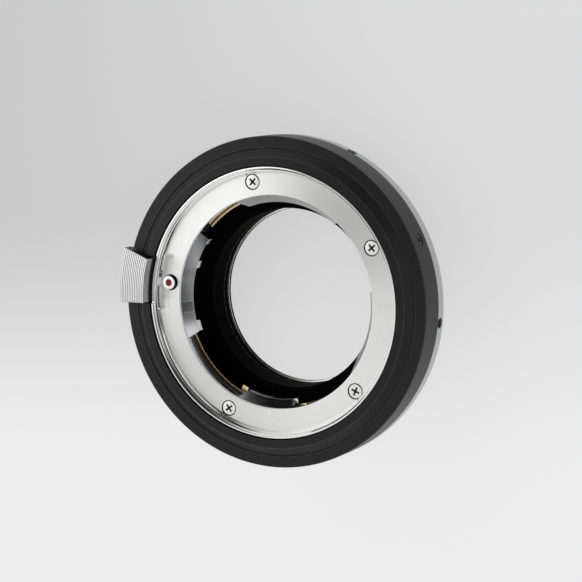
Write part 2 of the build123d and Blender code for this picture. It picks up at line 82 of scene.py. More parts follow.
ring = {
    "throat": mountValue("lens_throat", "r_mm"),
    "opening": mountValue("light_opening", "r_mm"),
    "plateRadius": plateBox[1][0],
    "rimTop": plateBox[1][2],
    "bodyRadius": bodyBox[1][0],
    "bodyTop": bodyBox[1][2],
    "bodyBottom": bodyBox[0][2],
    "barrelRadius": barrelBox[1][0],
    "barrelTop": barrelBox[1][2],
    "barrelBottom": barrelBox[0][2],
    "flange": 8.55,
    "plateBottom": 5.75,
    "pocket": 28.1,
    "slopeInner": 29.85,
    "barrelBore": 22.2,
    "bodyBore": 31.7,
    "rearPlateTop": rearPlateBox[1][2],
    "rearPlateRadius": rearPlateBox[1][0],
    "tubeEnd": rearPlateBox[0][2],
    "pinCircle": aroundAxis("lock_pin")[0],
    "slotFloor": 3.35,
    "slotHalf": 9.95,
}


# Mesh tools: profiles and solids are in millimetres, pieces in metres

def rounded(corners, ease=0.06, steps=3):      # corners (radius, height[, own ease]) become small arcs
    path = []
    for i, corner in enumerate(corners):
        here = Vector(corner[:2])
        before = Vector(corners[i - 1][:2]) - here
        after = Vector(corners[(i + 1) % len(corners)][:2]) - here
        size = corner[2] if len(corner) > 2 else ease
        size = min(size, 0.45 * before.length, 0.45 * after.length)
        if size <= 0:
            path.append(here)
            continue
        first = here + before.normalized() * size
        last = here + after.normalized() * size
        for k in range(steps + 1):
            t = k / steps
            path.append(first * (1 - t) ** 2 + here * 2 * t * (1 - t) + last * t * t)
    return path


def shrunk(path, depth):                       # a closed profile moved inwards by a depth
    area = sum(path[i - 1].x * p.y - p.x * path[i - 1].y for i, p in enumerate(path))
    side = 1 if area > 0 else -1
    moved = []
    for i, p in enumerate(path):
        along = (path[(i + 1) % len(path)] - path[i - 1]).normalized()
        moved.append(p + Vector((-along.y, along.x)) * depth * side)
    return moved


def turnedPoint(radius, turn, height):         # a turn is in radians
    return radius * math.cos(turn), radius * math.sin(turn), height


def onCircle(radius, angle):                   # an angle is in degrees
    return turnedPoint(radius, math.radians(angle), 0)[:2]


def meshFrom(name, build):                     # build(bm) fills a bmesh in millimetres
    bm = bmesh.new()
    build(bm)
    bmesh.ops.remove_doubles(bm, verts=bm.verts, dist=0.0004)
    bmesh.ops.recalc_face_normals(bm, faces=bm.faces)
    bmesh.ops.scale(bm, vec=(mm, mm, mm), verts=bm.verts)
    mesh = bpy.data.meshes.new(name)
    bm.to_mesh(mesh)
    bm.free()
    return mesh


def newPiece(name, build):
    piece = bpy.data.objects.new(name, meshFrom(name, build))
    bpy.context.scene.collection.objects.link(piece)
    return piece


def spun(path, steps=360, start=0.0, sweep=360.0, endEase=0.0, extra=()):
    section = path if callable(path) else lambda angle: path     # a profile may change with the angle
    full = sweep >= 360
    turns = [start + sweep * k / steps for k in range(steps)]
    if full:
        columns = [(angle, 0.0) for angle in sorted(turns + list(extra))]
    else:
        meanRadius = sum(p.x for p in path) / len(path)
        easeTurn = math.degrees(endEase / meanRadius)
        edge = [(0.0, 1.0), (0.3, 0.3), (1.0, 0.0)] if endEase else [(0.0, 0.0)]
        columns = [(start + easeTurn * t, endEase * d) for t, d in edge]
        columns += [(angle, 0.0) for angle in turns[1:]]
        columns += [(start + sweep - easeTurn * t, endEase * d) for t, d in reversed(edge)]

    def build(bm):
        loops = []
        for angle, depth in columns:
            turn = math.radians(angle)
            points = shrunk(section(angle), depth) if depth else section(angle)
            loops.append([bm.verts.new(turnedPoint(p.x, turn, p.y)) for p in points])
        pairs = list(zip(loops, loops[1:])) + ([(loops[-1], loops[0])] if full else [])
        for a, b in pairs:
            for i in range(len(a)):
                bm.faces.new((a[i - 1], a[i], b[i], b[i - 1]))
        if not full:
            bm.faces.new(loops[0])
            bm.faces.new(loops[-1])
    return build


def lathe(name, path, **turn):
    return newPiece(name, spun(path, **turn))


def post(outline, steps=48):                   # a solid turned on its own axis, outline (radius, height)
    turns = [2 * math.pi * k / steps for k in range(steps)]

    def build(bm):
        loops = []
        for radius, height in outline:
            if radius <= 0:
                loops.append([bm.verts.new((0, 0, height))])
            else:
                loops.append([bm.verts.new(turnedPoint(radius, turn, height)) for turn in turns])
        for a, b in zip(loops, loops[1:]):
            for k in range(steps):
                if len(a) == 1:
                    bm.faces.new((a[0], b[k - 1], b[k]))
                elif len(b) == 1:
                    bm.faces.new((a[k - 1], a[k], b[0]))
                else:
                    bm.faces.new((a[k - 1], a[k], b[k], b[k - 1]))
    return build


def plug(radius, low, high, steps=48):         # a plain cylinder between two heights
    return post([(0, low), (radius, low), (radius, high), (0, high)], steps)


def easedHole(radius, deep, ease, steps=48):   # the tool for a hole with a small chamfer at its mouth
    return post([(0, -deep), (radius, -deep), (radius, -ease), (radius + ease * 2, ease), (0, ease)], steps)


def countersink(shank, head, deep, steps=48):  # the tool for a screw's hole, down from the head's rim
    above = 0.2
    return post([(0, -deep), (shank, -deep), (shank, shank - head), (head, 0), (head + above, above),
                 (0, above)], steps)


def prism(outline, bottom, top, draft=0.0):    # an upright solid over an outline, its foot drawn in
    def build(bm):
        foot = [Vector(p) for p in outline]
        if draft:
            foot = shrunk(foot, draft)
        low = [bm.verts.new((p.x, p.y, bottom)) for p in foot]
        high = [bm.verts.new((p[0], p[1], top)) for p in outline]
        bm.faces.new(low)
        bm.faces.new(high)
        for i in range(len(outline)):
            bm.faces.new((low[i - 1], low[i], high[i], high[i - 1]))
    return build


def placed(build, matrix):                     # the same solid, moved to another frame
    def moved(bm):
        before = set(bm.verts)
        build(bm)
        bmesh.ops.transform(bm, matrix=matrix, verts=[v for v in bm.verts if v not in before])
    return moved


def turnedBy(angle, axis="Z"):
    return Matrix.Rotation(math.radians(angle), 4, axis)


def spot(radius, angle, height, tilt=0.0):     # frame of a hole or screw at a point of the ring
    return turnedBy(angle) @ Matrix.Translation((radius, 0, height)) @ turnedBy(tilt, "Y")


def carve(piece, *builds, mode="DIFFERENCE"):  # cuts solids from a piece, or joins them to it
    for number, build in enumerate(builds):
        tool = newPiece(f"{piece.name}_tool_{number}", build)
        change = piece.modifiers.new("carve", "BOOLEAN")
        change.operation = mode
        change.solver = "EXACT"
        change.object = tool
        bpy.context.view_layer.update()
        result = bpy.data.meshes.new_from_object(piece.evaluated_get(bpy.context.evaluated_depsgraph_get()))
        piece.modifiers.clear()
        piece.data = result
        bpy.data.objects.remove(tool)


def smoothFaces(piece, crease):                # smooth faces, sharp edges, and flats that stay flat
    levelNormal = 0.99999
    piece.data.shade_smooth()
    for face in piece.data.polygons:
        face.use_smooth = abs(face.normal.z) < levelNormal
    piece.data.set_sharp_from_angle(angle=math.radians(crease))
    weighted = piece.modifiers.new("flats", "WEIGHTED_NORMAL")
    weighted.weight = 100
    weighted.keep_sharp = True


def dress(piece, finish, body, node, crease=28):
    smoothFaces(piece, crease)
    piece.data.materials.clear()
    piece.data.materials.append(finish)
    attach(piece, body)
    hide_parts(node)


def paintFaces(piece, finish, chosen):         # a second finish where chosen(radius, angle, height) holds
    piece.data.materials.append(finish)
    for face in piece.data.polygons:
        x, y, z = face.center / mm
        if chosen(math.hypot(x, y), math.degrees(math.atan2(y, x)) % 360, z):
            face.material_index = len(piece.data.materials) - 1


# Shader tools: a socket that takes plain arithmetic, and a finish that takes nodes

class Wire:                                    # an output socket in a finish
    def __init__(self, finish, socket):
        self.finish = finish
        self.socket = socket

    def maths(self, operation, *others):
        values = {f"n{place}": value for place, value in enumerate((self, *others))}
        return self.finish.put("ShaderNodeMath", {"operation": operation}, **values)

    def __add__(self, other):
        return self.maths("ADD", other)

    def __sub__(self, other):
        return self.maths("SUBTRACT", other)

    def __mul__(self, other):
        return self.maths("MULTIPLY", other)

    def __truediv__(self, other):
        return self.maths("DIVIDE", other)

    def __pow__(self, other):
        return self.maths("POWER", other)

    def __rsub__(self, other):
        return self * -1 + other

    def __rtruediv__(self, other):
        return self ** -1 * other

    __radd__ = __add__
    __rmul__ = __mul__

    def over(self, low, high):                 # 0 below low, 1 above high, smooth between
        return self.finish.put("ShaderNodeMapRange", {"interpolation_type": "SMOOTHSTEP"},
                               Value=self, From_Min=low, From_Max=high)


class Finish:                                  # a material, or the shader of the world
    def __init__(self, name, world=None):
        self.home = world or bpy.data.materials.new(name)
        self.home.use_nodes = True
        self.tree = self.home.node_tree
        self.tree.nodes.clear()
        self.output = self.tree.nodes.new("ShaderNodeOutputWorld" if world else "ShaderNodeOutputMaterial")

    def put(self, kind, settings=None, out=0, **values):     # a socket goes by name, or by number as n0, n1
        node = self.tree.nodes.new(kind)
        for key, value in (settings or {}).items():
            setattr(node, key, value)
        for key, value in values.items():
            numbered = key[0] == "n" and key[1:].isdigit()
            self.feed(node.inputs[int(key[1:]) if numbered else key.replace("_", " ")], value)
        return Wire(self, node.outputs[out])

    def feed(self, place, value):              # links a wire, or sets a number or a colour
        if isinstance(value, Wire):
            self.tree.links.new(value.socket, place)
        elif isinstance(value, tuple) and len(place.default_value) == 4:
            place.default_value = (*value, 1.0)
        else:
            place.default_value = value

    def parts(self, vector):
        return [self.put("ShaderNodeSeparateXYZ", out=axis, Vector=vector) for axis in "XYZ"]

    def vector(self, x, y, z):
        return self.put("ShaderNodeCombineXYZ", X=x, Y=y, Z=z)

    def point(self):                           # the shaded point in the piece's own frame, in millimetres
        own = self.put("ShaderNodeTexCoord", out="Object")
        return self.put("ShaderNodeVectorMath", {"operation": "SCALE"}, Vector=own, Scale=1 / mm)

    def polarPoint(self):                      # that point, then its radius, angle and height
        point = self.point()
        x, y, z = self.parts(point)
        return point, (x * x + y * y) ** 0.5, y.maths("ARCTAN2", x), z

    def noise(self, vector, scale, detail=2.0, roughness=0.5):
        return self.put("ShaderNodeTexNoise", Vector=vector, Scale=scale, Detail=detail,
                        Roughness=roughness)

    def blend(self, amount, first, second):
        return self.put("ShaderNodeMix", {"data_type": "RGBA"}, out=2, Factor=amount, n6=first, n7=second)

    def bump(self, strength, depth, height, **under):        # depth in millimetres
        return self.put("ShaderNodeBump", Strength=strength, Distance=depth * mm, Height=height, **under)

    def leaning(self, radius, slope):          # a face turned very slightly conical, lower outwards
        return {"Normal": self.bump(1.0, 1.0, radius * -slope)} if slope else {}

    def surface(self, wire):
        self.tree.links.new(wire.socket, self.output.inputs["Surface"])
        return self.home

    def shade(self, **sockets):
        return self.surface(self.put("ShaderNodeBsdfPrincipled", **sockets))


# Black finishes

# edge is the colour of the painted highlight lines on turned edges and of the painted sheen on the tool
# strokes
anodise = {"colour": (0.0036, 0.0037, 0.0040), "worn": (0.009, 0.009, 0.0093), "edge": (0.060, 0.060, 0.061),
           "edgeWide": (0.02, 0.09), "edgeDepth": (0.25, 0.05), "edgeTone": 0.8, "roughness": 0.40,
           "specular": 0.30, "lean": 0.14, "strokeOut": 14.0, "strokeRound": 330.0, "strokeHeight": 0.6,
           "strokeTone": 0.32}


def blackAnodised(name, edges, slope=None):    # radii of the turned edges that get a painted highlight line
    f = Finish(name)
    point, radius, angle, z = f.polarPoint()
    grain = f.noise(point, 9.0, detail=3.0, roughness=0.6)
    cloud = f.noise(point, 0.25)
    turned = f.noise(f.vector(radius * 7.0, angle * 1.6, z * 7.0), 1.0, roughness=0.6)
    tone = grain * 0.55 + turned * 0.35 + cloud * 0.25
    colour = f.blend((tone - 0.42).over(0.0, 0.6), anodise["colour"], anodise["worn"])
    atTop = z.over(*[ring["bodyTop"] - depth for depth in anodise["edgeDepth"]])
    # a painted highlight line along each turned edge, near the top
    for edge in edges:
        line = 1 - (radius - edge).maths("ABSOLUTE").over(*anodise["edgeWide"])
        colour = f.blend(line * atTop * anodise["edgeTone"], colour, anodise["edge"])
    height = grain * 0.6 + turned * 0.4
    if slope:                                  # fine slanted tool strokes on the sloping band: relief, with a painted sheen along them
        inner, outerEnd = slope
        inside = radius.over(inner, inner + 0.1) * (1 - radius.over(outerEnd - 0.1, outerEnd))
        stroke = (radius * anodise["strokeOut"] + angle * anodise["strokeRound"]).maths("SINE")
        height = height + inside * stroke * anodise["strokeHeight"]
        colour = f.blend(inside * stroke.over(0.1, 0.9) * anodise["strokeTone"], colour, anodise["edge"])
    rough = anodise["roughness"] + (grain - 0.5) * 0.16 + (cloud - 0.5) * 0.06
    bump = f.bump(0.35, 0.006, height, **f.leaning(radius, anodise["lean"]))
    return f.shade(Base_Color=colour, Roughness=rough, Normal=bump, Specular_IOR_Level=anodise["specular"])


matt = {"colour": (0.0009, 0.0009, 0.0010), "dust": (0.16, 0.16, 0.16), "stain": (0.13, 0.125, 0.055),
        "stainHeight": -5.0, "stainWave": 0.9, "stainWide": (0.05, 0.30), "roughness": 0.68, "specular": 0.02}


def mattBlack(name, stain=False):
    f = Finish(name)
    point, radius, angle, z = f.polarPoint()
    grain = f.noise(point, 14.0, roughness=0.6)
    lines = (z * 15.0 + grain * 0.8).maths("SINE")
    speck = f.put("ShaderNodeTexVoronoi", Vector=point, Scale=1.1, Randomness=1.0)
    dust = (1 - speck.over(0.03, 0.07)) * f.noise(point, 0.4).over(0.55, 0.6)
    colour = f.blend(dust, matt["colour"], matt["dust"])
    if stain:                                  # an olive jagged line round the bore at one height
        wave = f.noise(f.vector(0, angle * 11.0, 0), 1.0, detail=3.0) - 0.5
        away = (z - matt["stainHeight"] + wave * matt["stainWave"]).maths("ABSOLUTE")
        patchy = f.noise(f.vector(z * 2.0, angle * 30.0, 0), 1.0).over(0.35, 0.65)
        colour = f.blend((1 - away.over(*matt["stainWide"])) * patchy * 0.9, colour, matt["stain"])
    bump = f.bump(0.5, 0.02, lines * 0.5 + grain)
    return f.shade(Base_Color=colour, Roughness=grain * 0.1 + matt["roughness"], Normal=bump,
                   Specular_IOR_Level=matt["specular"])


# Turned metals, and the painted shade and reflection that some of their faces carry; angles in degrees, radii
# in millimetres

padShade = {"half": 12.0, "fade": 0.4, "inner": 24.8, "outer": 26.4, "depth": 0.42,
            "tone": (0.20, 0.20, 0.205)}
rimShade = {"middle": 228, "core": 28, "reach": 46, "tone": (0.03, 0.03, 0.032),
            "lines": ((27.48, 0.07, 0.75), (27.25, 0.05, 0.95), (27.07, 0.12, 0.95), (26.63, 0.10, 0.45))}
lugShade = {"tip": 20.42, "fade": 0.7, "areas": ((172.0, 24.0, (0.93, 0.96, 1.0)),
                                                 (193.2, 2.4, (0.52, 0.54, 0.57)),
                                                 (350.5, 25.0, (0.13, 0.13, 0.135)))}


def aroundMask(angle, middle, core, reach):    # 1 within core degrees of a middle angle, 0 past reach
    turn = (angle - math.radians(middle)).maths("COSINE")
    return turn.over(math.cos(math.radians(reach)), math.cos(math.radians(core)))


def padPaintedShade(f, shade, radius, angle):         # painted shade on the relief beside the pin, darker towards its outer end
    turn = angle.maths("ABSOLUTE") * (180 / math.pi)
    edge = 180 - padShade["half"]
    inside = turn.over(edge - padShade["fade"], edge) * radius.over(padShade["inner"], padShade["outer"])
    return f.blend(inside * padShade["depth"], shade, padShade["tone"])


def rimPaintedShade(f, shade, radius, angle):         # painted dark lines of shade and reflection in the groove of the rim, on one side only
    side = aroundMask(angle, rimShade["middle"], rimShade["core"], rimShade["reach"])
    for place, half, depth in rimShade["lines"]:
        line = 1 - (radius - place).maths("ABSOLUTE").over(half * 0.6, half)
        shade = f.blend(line * side * depth, shade, rimShade["tone"])
    return shade


def lugPaintedReflection(f, shade, radius, angle):         # painted reflection tones on two of the lugs, in areas up to their tips
    behindTip = radius.over(lugShade["tip"], lugShade["tip"] + 0.15)
    for middle, half, tone in lugShade["areas"]:
        inside = aroundMask(angle, middle, half, half + lugShade["fade"])
        shade = f.blend(inside * behindTip, shade, tone)
    return shade


def turnedMetal(name, colour, roughness, anisotropic=0.0, lean=0.0, scratch=0.05, tint=0.06, paintedShading=None):
    f = Finish(name)
    point, radius, angle, z = f.polarPoint()
    grain = f.noise(point, 15.0, roughness=0.6)
    lines = f.noise(f.vector(radius * 5.5, angle * 5.0, z * 5.5), 1.0, detail=3.0, roughness=0.65)
    cloud = f.noise(point, 0.16)
    dark = tuple(c * (1 - tint * 2) for c in colour)
    light = tuple(min(1.0, c * (1 + tint)) for c in colour)
    shade = f.blend((lines * 0.4 + grain * 0.6).over(0.25, 0.75), dark, light)
    # painted shade and reflection on some faces, when a function is given
    if paintedShading:
        shade = paintedShading(f, shade, radius, angle)
    uneven = (lines - 0.5) * 0.08 + (grain - 0.5) * 0.12 + (cloud - 0.5) * 0.06
    rough = roughness + uneven * min(1.0, roughness / 0.3)   # a polished face varies less
    bump = f.bump(scratch * 4, 0.003, lines * 0.7 + grain * 0.3, **f.leaning(radius, lean))
    return f.shade(Base_Color=shade, Metallic=1.0, Roughness=rough, Normal=bump, Anisotropic=anisotropic,
                   Anisotropic_Rotation=0.25)


# Other metals and the enamel of the dot

# groove is the colour of the painted shade in the lever's grooves
ridges = {"first": 28.4, "last": 35.2, "count": 13, "foot": 10.0, "colour": (0.88, 0.88, 0.88),
          "groove": (0.36, 0.36, 0.37), "grooveTone": 0.85, "roughness": 0.34, "metallic": 0.55}
ridges["run"] = (ridges["last"] - ridges["first"]) / ridges["count"]


def ridgedMetal():                             # bright pad with painted shade in its grooves
    f = Finish("brightAluminium")
    point, radius, angle, z = f.polarPoint()
    grain = f.noise(point, 8.0, roughness=0.6)
    share = ((radius - ridges["first"]) / ridges["run"]).maths("FRACT")
    low = share.over(0.50, 0.68) * (1 - share.over(0.90, 1.0))
    inside = radius.over(ridges["first"] + 0.05, ridges["first"] + 0.1)
    inside = inside * z.over(ridges["foot"] - 0.1, ridges["foot"] + 0.1)
    shade = f.blend(low * inside * ridges["grooveTone"], ridges["colour"], ridges["groove"])
    rough = ridges["roughness"] + (grain - 0.5) * 0.12
    return f.shade(Base_Color=shade, Metallic=ridges["metallic"], Roughness=rough,
                   Normal=f.bump(0.15, 0.004, grain))


def plainMetal(name, colour, roughness, spread=0.1, scale=4.0, tint=0.12):
    f = Finish(name)
    point = f.point()
    grain = f.noise(point, scale, detail=3.0, roughness=0.6)
    fine = f.noise(point, scale * 3.1)
    dark = tuple(c * (1 - tint) for c in colour)
    shade = f.blend(grain.over(0.3, 0.7), dark, colour)
    rough = roughness + (grain - 0.5) * spread + (fine - 0.5) * spread * 0.5
    bump = f.bump(0.15, 0.004, grain * 0.5 + fine * 0.5)
    return f.shade(Base_Color=shade, Metallic=1.0, Roughness=rough, Normal=bump)


enamel = {"dark": (0.17, 0.003, 0.006), "light": (0.30, 0.006, 0.012), "roughness": 0.25, "specular": 0.3}


def redEnamel():
    f = Finish("redEnamel")
    grain = f.noise(f.point(), 3.0, detail=3.0, roughness=0.6)
    colour = f.blend(grain.over(0.3, 0.7), enamel["dark"], enamel["light"])
    return f.shade(Base_Color=colour, Roughness=grain * 0.2 + enamel["roughness"],
                   Normal=f.bump(0.3, 0.01, grain), Specular_IOR_Level=enamel["specular"])


finishes = {
    "black": blackAnodised("blackAnodised", (ring["bodyBore"] + 0.05, ring["bodyRadius"] - 0.08)),
    "barrel": blackAnodised("blackAnodisedBarrel", (ring["barrelRadius"] - 0.06, ring["slopeInner"]),
                            slope=(ring["slopeInner"], ring["barrelRadius"])),
    "matt": mattBlack("mattBlack"),
    "boreBlack": mattBlack("boreBlack", stain=True),
    "plate": turnedMetal("satinChrome", (0.80, 0.80, 0.79), 0.34, anisotropic=0.70, lean=0.09,
                         paintedShading=padPaintedShade),
    "rim": turnedMetal("brightChrome", (0.84, 0.84, 0.83), 0.07, lean=0.12, scratch=0.003, tint=0.02,
                       paintedShading=rimPaintedShade),
    "lug": turnedMetal("polishedChrome", (0.72, 0.74, 0.77), 0.14, anisotropic=0.2, scratch=0.008,
                       tint=0.03, paintedShading=lugPaintedReflection),
    "rearPlate": turnedMetal("satinChromeRear", (0.76, 0.76, 0.75), 0.26, anisotropic=0.4),
    "rearRing": turnedMetal("silverAnodised", (0.56, 0.57, 0.58), 0.34, anisotropic=0.3, tint=0.1),
    "lever": ridgedMetal(),
    "leverSide": plainMetal("aluminiumSide", (0.50, 0.50, 0.51), 0.36, tint=0.10),
    "steel": plainMetal("plainSteel", (0.42, 0.42, 0.43), 0.35, spread=0.12, scale=5.0),
    "wire": plainMetal("springWire", (0.55, 0.55, 0.55), 0.28, spread=0.12, scale=5.0),
    "pin": plainMetal("pinSteel", (0.88, 0.88, 0.87), 0.22, spread=0.06, scale=3.0, tint=0.05),
    # painted shade on the pin's side
    "pinSide": plainMetal("pinSideDark", (0.035, 0.035, 0.037), 0.3, spread=0.12, scale=5.0),
    "screw": plainMetal("screwNickel", (0.84, 0.85, 0.82), 0.20, tint=0.16),
    # painted shade for recesses, countersinks and the lever's end faces
    "screwDark": plainMetal("screwRecess", (0.05, 0.048, 0.045), 0.45, tint=0.3),
    "darkScrew": plainMetal("darkScrew", (0.05, 0.047, 0.043), 0.32, tint=0.3),
    "brass": plainMetal("springBrass", (0.95, 0.70, 0.44), 0.24, scale=2.5, tint=0.20),
    # painted shade on the springs
    "brassDark": plainMetal("springShade", (0.16, 0.10, 0.06), 0.40, scale=2.5, tint=0.25),
    "red": redEnamel(),
}
print("finishes:", len(finishes))


# Black outer ring with the cut for the lever

outer = {"chamfer": 0.15, "screwHead": 1.28, "screwShank": 0.83, "headDepth": 1.1, "mouthEase": 0.06,
         "mouthTop": 0.24, "shankFoot": -4, "shankTop": -0.5, "cutHigh": 2.0, "cutPast": 1}


def leverCut():                                # the sector that the lever stands in
    inner, outerEnd = ring["pocket"] - outer["cutPast"], ring["bodyRadius"] + outer["cutPast"]
    floor, top = ring["slotFloor"], ring["barrelTop"] + outer["cutHigh"]
    path = [Vector(p) for p in ((inner, floor), (outerEnd, floor), (outerEnd, top), (inner, top))]
    return spun(path, steps=20, start=180 - ring["slotHalf"], sweep=2 * ring["slotHalf"])


def makeOuterRing():
    chamfer = outer["chamfer"]
    piece = lathe("outer_ring", rounded([
        (ring["bodyBore"], ring["bodyBottom"], 0.03),
        (ring["bodyRadius"], ring["bodyBottom"], 0.08),
        (ring["bodyRadius"], ring["bodyTop"] - chamfer, 0.05),
        (ring["bodyRadius"] - chamfer, ring["bodyTop"], 0.05),
        (ring["bodyBore"], ring["bodyTop"], 0.03),
    ]))
    head, deep, ease, top = outer["screwHead"], outer["headDepth"], outer["mouthEase"], outer["mouthTop"]
    sink = post([(0, -deep), (outer["screwShank"], -deep), (head, -deep), (head, -ease),
                 (head + ease + top, top), (0, top)])
    shank = plug(outer["screwShank"], outer["shankFoot"], outer["shankTop"])
    holes = []
    for radius, angle, height in sideScrews:
        matrix = spot(ring["bodyRadius"], angle, height, tilt=90)
        holes += [placed(sink, matrix), placed(shank, matrix)]
    carve(piece, leverCut(), *holes)
    dress(piece, finishes["black"], "body", "body_ring")


# Barrel inside it: collar, sloping band, pocket, shelf and bore

barrel = {"chamfer": 0.15, "groove": 22.53, "grooveLow": 4.57, "grooveHigh": 4.93, "rearSeat": 28.25,
          "steps": 18, "stepDepth": 0.02, "armWidth": 4.5, "armEnd": 1.575, "springAt": (-30.3, 2.75),
          "springHole": 1.11, "springDeep": 1.0, "sideHole": 0.77, "edgeHole": 1.02, "holeDeep": 2.2}


def slopeSteps():                              # fine turned steps across the sloping band
    low = Vector((ring["barrelRadius"], ring["bodyTop"] - 0.02))
    high = Vector((ring["slopeInner"] + 0.1, ring["barrelTop"] - 0.07))
    across = Vector((low.y - high.y, high.x - low.x)).normalized() * barrel["stepDepth"]
    return [(*(low.lerp(high, k / barrel["steps"]) + across * (k % 2)), 0.0)
            for k in range(1, barrel["steps"])]


def armChannel():                              # plan of the channel that the lever's arm lies in
    half, wall, centre = barrel["armWidth"] / 2, -ring["pocket"] - 1, -ring["pinCircle"]
    turns = [math.radians(k * 15) for k in range(-6, 7)]
    end = [(centre + barrel["armEnd"] * math.cos(t), barrel["armEnd"] * math.sin(t)) for t in turns]
    return [(wall, -half), (centre, -half)] + end + [(centre, half), (wall, half)]


def springPlaces():
    x, y = barrel["springAt"]
    return (x, y), (x, -y)


def makeBarrel():
    chamfer = barrel["chamfer"]
    piece = lathe("front_barrel", rounded([
        (ring["barrelBore"], ring["rearPlateTop"], 0.04),
        (barrel["rearSeat"], ring["rearPlateTop"], 0.03),
        (barrel["rearSeat"], ring["barrelBottom"], 0.03),
        (ring["barrelRadius"] - chamfer, ring["barrelBottom"], 0.03),
        (ring["barrelRadius"], ring["barrelBottom"] + chamfer, 0.03),
        (ring["barrelRadius"], ring["bodyTop"] - chamfer, 0.04),
        (ring["barrelRadius"] - 0.12, ring["bodyTop"], 0.03),
        *slopeSteps(),
        (ring["slopeInner"] + 0.12, ring["barrelTop"] - 0.1, 0.03),
        (ring["slopeInner"] - 0.02, ring["barrelTop"], 0.03),
        (ring["pocket"], ring["barrelTop"], 0.08),
        (ring["pocket"], ring["plateBottom"], 0.03),
        (ring["barrelBore"], ring["plateBottom"], 0.05),
        (ring["barrelBore"], barrel["grooveHigh"], 0.02),
        (barrel["groove"], barrel["grooveHigh"], 0.02),
        (barrel["groove"], barrel["grooveLow"], 0.02),
        (ring["barrelBore"], barrel["grooveLow"], 0.02),
    ], steps=2))
    tools = [leverCut(), prism(armChannel(), ring["slotFloor"], ring["plateBottom"] + 1)]
    seat = plug(barrel["springHole"], -barrel["springDeep"], 1, steps=32)
    tools += [placed(seat, Matrix.Translation((x, y, ring["slotFloor"]))) for x, y in springPlaces()]
    for screws, wide in ((sideScrews, barrel["sideHole"]), (edgeScrews, barrel["edgeHole"])):
        hole = plug(wide, -barrel["holeDeep"], 1, steps=32)
        tools += [placed(hole, spot(ring["barrelRadius"], angle, height, tilt=90))
                  for radius, angle, height in screws]
    carve(piece, *tools)
    dress(piece, finishes["barrel"], "body", "inner_barrel")


# Silver ring behind the body

rearRing = {"chamfer": 0.15, "hole": 1.08, "mouth": 1.28}


def makeRearRing():
    low, high, radius = rearRingBox[0][2], rearRingBox[1][2], rearRingBox[1][0]
    chamfer, hole, mouth = rearRing["chamfer"], rearRing["hole"], rearRing["mouth"]
    piece = lathe("rear_ring", rounded([
        (ring["bodyBore"], low + chamfer, 0.04),
        (ring["bodyBore"] + chamfer, low, 0.04),
        (radius - chamfer, low, 0.05),
        (radius, low + chamfer, 0.05),
        (radius, high, 0.06),
        (ring["bodyBore"], high, 0.03),
    ]))
    tool = post([(0, -4), (hole, -4), (hole, -0.05), (mouth, mouth - hole - 0.05), (mouth, 0.4), (0, 0.4)])
    carve(piece, *[placed(tool, spot(radius, angle, height, tilt=90)) for place, angle, height in edgeScrews])
    dress(piece, finishes["rearRing"], "body", "camera_ring")


# Silver camera bayonet: plate, tube, lip and three lugs

rear = {"lip": 18.35, "tube": 19.15, "lipLength": 0.8, "mouth": 19.65, "mouthFloor": 0.8, "leadWide": 0.3,
        "leadDeep": 0.4, "reliefRadius": 20.75, "relief": 0.3, "lugRadius": 20.55, "lugFront": -3.6,
        "lugThick": 1.6, "lugSpan": 52, "lugChamfer": 0.15, "lugRoot": 0.25, "lugs": (20, 140, 260),
        "holeRadius": 1.35, "holeAt": (24.4, 95), "holeDeep": 3, "headRadius": 1.68, "shank": 0.88}


def makeRearPlate():
    end = ring["tubeEnd"]
    lipTop = end + rear["lipLength"]
    lead = ring["opening"] + rear["leadWide"]
    piece = lathe("rear_bayonet", rounded([
        (rear["mouth"], ring["rearPlateTop"], 0.03),
        (rear["mouth"], rear["mouthFloor"], 0.02),
        (lead, rear["mouthFloor"], 0.03),
        (ring["opening"], rear["mouthFloor"] - rear["leadDeep"], 0.04),
        (ring["opening"], lipTop, 0.02),
        (rear["lip"], lipTop, 0.14),
        (rear["lip"], end, 0.10),
        (rear["tube"], end, 0.15),
        (rear["tube"], rear["relief"], 0.03),
        (rear["reliefRadius"], rear["relief"], 0.05),
        (rear["reliefRadius"], 0, 0.06),
        (rear["reliefRadius"] + 0.2, 0, 0.0),
        (ring["rearPlateRadius"] - 0.25, 0, 0.0),
        (ring["rearPlateRadius"], 0, 0.12),
        (ring["rearPlateRadius"], ring["rearPlateTop"], 0.05),
    ]))
    root, tip, chamfer = rear["tube"] - rear["lugRoot"], rear["lugRadius"], rear["lugChamfer"]
    high = rear["lugFront"]
    low = high - rear["lugThick"]
    lug = [Vector(p) for p in ((root, low), (tip - chamfer, low), (tip, low + chamfer), (tip, high),
                               (root, high))]
    carve(piece, *[spun(lug, steps=52, start=start, sweep=rear["lugSpan"], endEase=0.1)
                   for start in rear["lugs"]], mode="UNION")
    sink = countersink(rear["shank"], rear["headRadius"], rear["holeDeep"])
    places = [aroundAxis(f"camera_screw_{k}")[:2] for k in (1, 2, 3, 4)]
    holes = [placed(sink, spot(radius, angle, 0, tilt=180)) for radius, angle in places]
    pinHole = easedHole(rear["holeRadius"], rear["holeDeep"], 0.1)
    holes.append(placed(pinHole, spot(*rear["holeAt"], 0, tilt=180)))
    carve(piece, *holes)
    dress(piece, finishes["rearPlate"], "body", "camera_bayonet")
    paintFaces(piece, finishes["pin"], lambda r, a, z: r < ring["opening"] - 0.01 and z > lipTop - 0.2)
    paintFaces(piece, finishes["boreBlack"],
               lambda r, a, z: r < rear["lip"] + 0.01 or r < lead + 0.02 and z > lipTop + 0.01)


# Matt black funnel whose spigot sits in the mouth of that plate

baffle = {"lipWide": 0.5, "play": 0.05}


